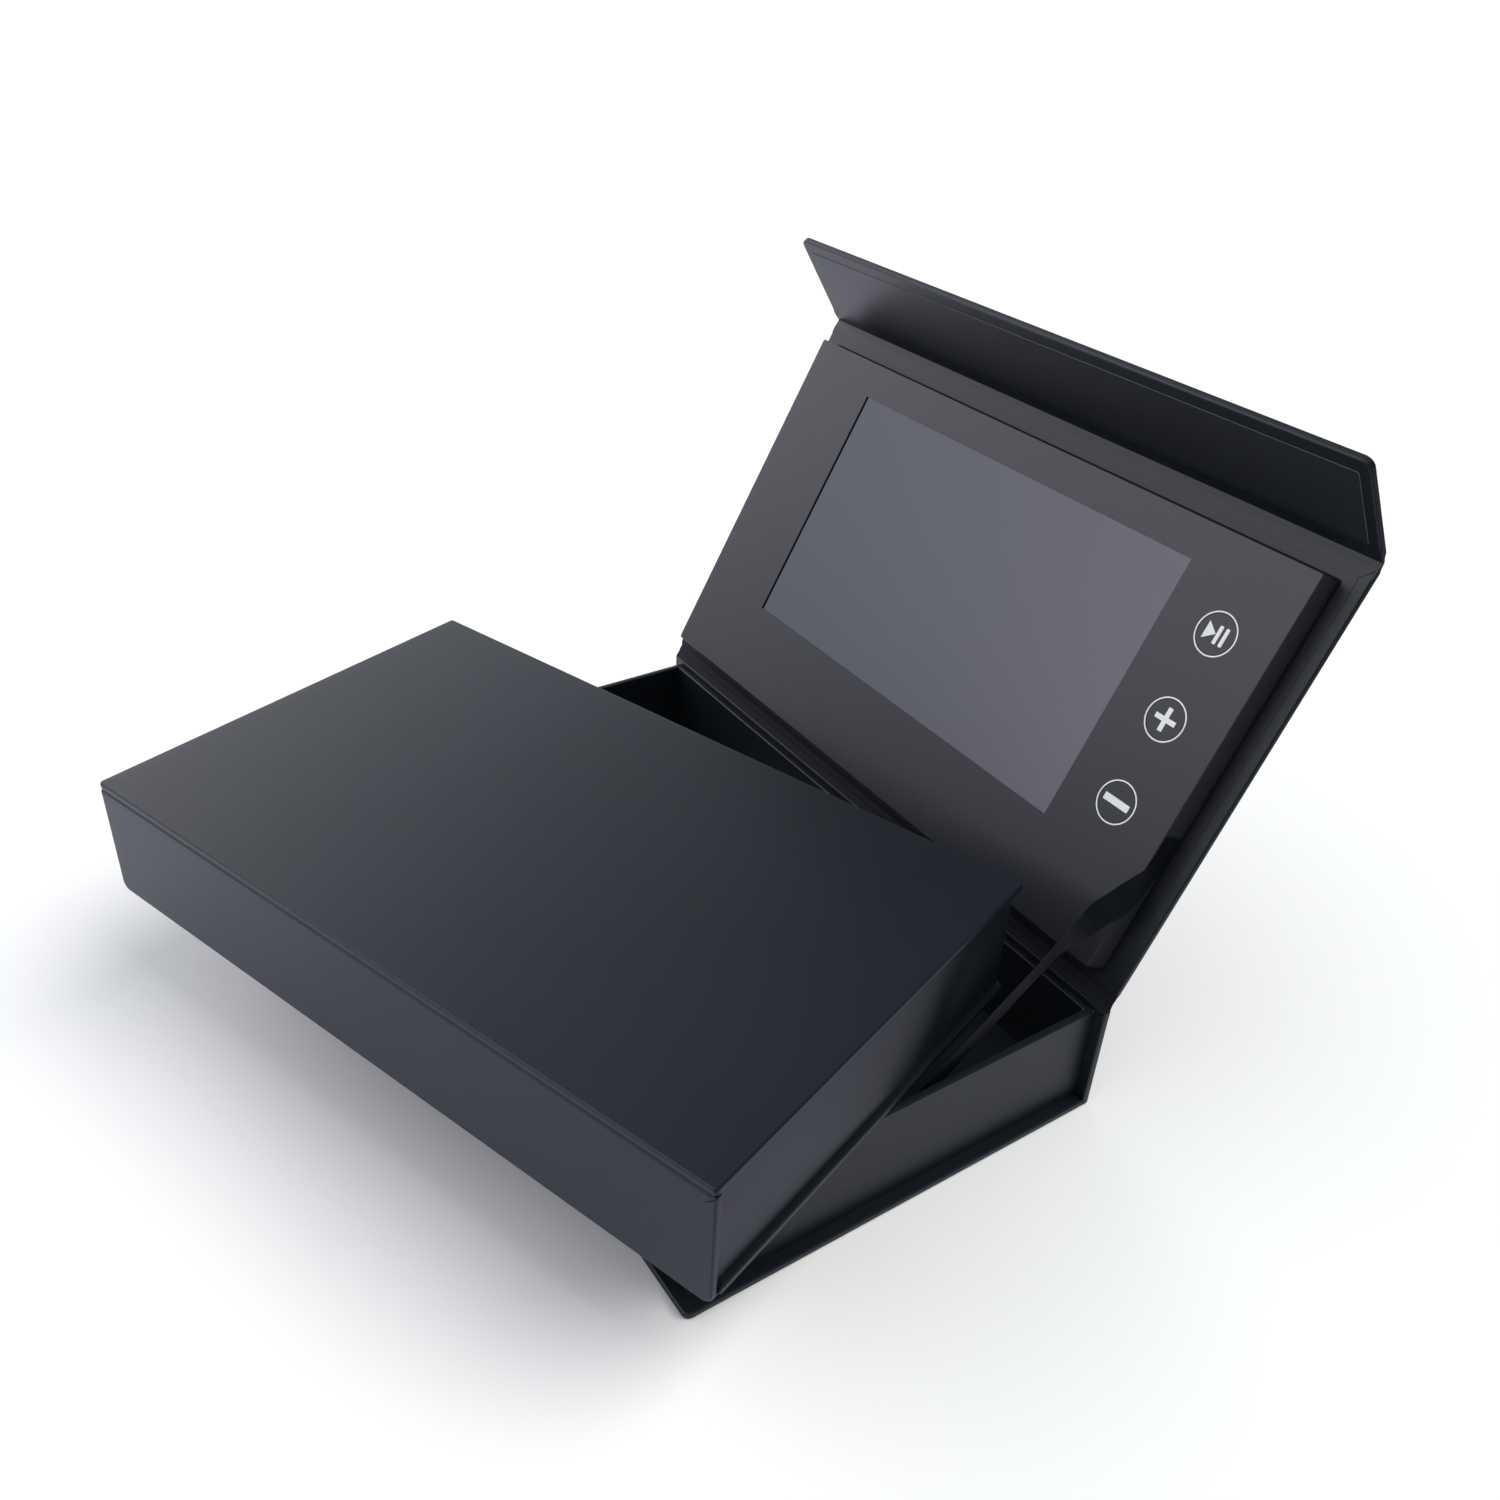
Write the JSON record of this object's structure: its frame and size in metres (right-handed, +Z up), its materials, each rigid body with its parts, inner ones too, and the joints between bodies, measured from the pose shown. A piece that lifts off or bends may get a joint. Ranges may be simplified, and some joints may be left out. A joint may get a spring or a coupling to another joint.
{
  "type": "video presentation box",
  "caption": "Book-style presentation box standing open, with a video screen and push buttons in its lid and a loose inner box across its tray.",
  "frame": {"origin": "centre of the base's underside", "axes": "+X along the hinge to the side with the buttons, +Y from the front edge to the hinge, +Z up"},
  "size_m": [0.2696, 0.3, 0.2018],
  "materials": {
    "wrap_paper": "matte",
    "lining_paper": "matte",
    "panel_paper": "satin",
    "grey_board": "matte",
    "panel_board": "matte",
    "screen_glass": "gloss",
    "module_metal": "satin",
    "foam_pad": "matte",
    "circuit_board": "satin",
    "battery_foil": "satin",
    "lead_wire": "satin",
    "black_plastic": "matte",
    "flat_cable": "satin",
    "reed_glass": "gloss",
    "button_card": "satin",
    "magnet": "satin",
    "ribbon_satin": "satin"
  },
  "bodies": {
    "base": {"base_board": "grey_board", "base_wrap": "wrap_paper", "spine_board": "grey_board", "spine_wrap": "wrap_paper", "tray_floor": "grey_board", "tray_front_wall": "grey_board", "tray_rear_wall": "grey_board", "tray_left_wall": "grey_board", "tray_right_wall": "grey_board", "tray_wrap": "wrap_paper", "tray_liner": "lining_paper", "catch_discs": "magnet", "switch_magnet": "magnet", "stay_ribbon_lower": "ribbon_satin"},
    "lid": {"lid_board": "grey_board", "lid_wrap": "wrap_paper", "lid_lining": "lining_paper", "stay_ribbon_upper": "ribbon_satin", "panel_core": "panel_board", "panel_card": "panel_board", "panel_wrap": "panel_paper", "lcd_glass": "screen_glass", "lcd_backlight": "module_metal", "backlight_pads": "foam_pad", "main_board": "circuit_board", "battery": "battery_foil", "battery_lead": "lead_wire", "speaker": "black_plastic", "speaker_cable": "flat_cable", "key_board": "circuit_board", "key_switches": "black_plastic", "key_cable": "flat_cable", "display_cable": "flat_cable", "usb_board": "circuit_board", "usb_socket": "module_metal", "usb_cable": "flat_cable", "reed_switch": "reed_glass"},
    "flap": {"flap_board": "grey_board", "flap_wrap": "wrap_paper", "flap_lining": "lining_paper", "flap_magnets": "magnet"},
    "play": {"play_button": "button_card"},
    "plus": {"plus_button": "button_card"},
    "minus": {"minus_button": "button_card"},
    "inner_box": {"box_bottom_board": "grey_board", "box_bottom_wrap": "wrap_paper", "box_front_board": "grey_board", "box_front_wrap": "wrap_paper", "box_tray_floor": "grey_board", "box_front_wall": "grey_board", "box_rear_wall": "grey_board", "box_left_wall": "grey_board", "box_right_wall": "grey_board", "box_tray_wrap": "wrap_paper", "box_tray_liner": "lining_paper"},
    "inner_box_lid": {"box_top_board": "grey_board", "box_top_wrap": "wrap_paper", "box_top_lining": "lining_paper"}
  },
  "joints": [
    {"name": "lid_hinge", "type": "hinge", "parent": "base", "child": "lid", "pos_m": [0, 0.073, 0.0414], "axis": [1, 0, 0], "range_deg": [0, 40]},
    {"name": "flap_hinge", "type": "hinge", "parent": "lid", "child": "flap", "pos_m": [0, 0.14236, 0.16862], "axis": [1, 0, 0], "range_deg": [-61.3, 28.7]},
    {"name": "play_press", "type": "slide", "parent": "lid", "child": "play", "axis": [0, 0.878, -0.4787], "range_m": [0, 0.0004], "stiffness_N_per_m": 2500, "springref_m": -0.0002},
    {"name": "plus_press", "type": "slide", "parent": "lid", "child": "plus", "axis": [0, 0.878, -0.4787], "range_m": [0, 0.0004], "stiffness_N_per_m": 2500, "springref_m": -0.0002},
    {"name": "minus_press", "type": "slide", "parent": "lid", "child": "minus", "axis": [0, 0.878, -0.4787], "range_m": [0, 0.0004], "stiffness_N_per_m": 2500, "springref_m": -0.0002},
    {"name": "inner_box_lift", "type": "slide", "parent": "base", "child": "inner_box", "axis": [0, 0, 1], "range_m": [0, 0.192]},
    {"name": "inner_box_lid_hinge", "type": "hinge", "parent": "inner_box", "child": "inner_box_lid", "pos_m": [0.03125, -0.11846, 0.07465], "axis": [0.9455, 0.3256, 0], "range_deg": [0, 180]}
  ]
}
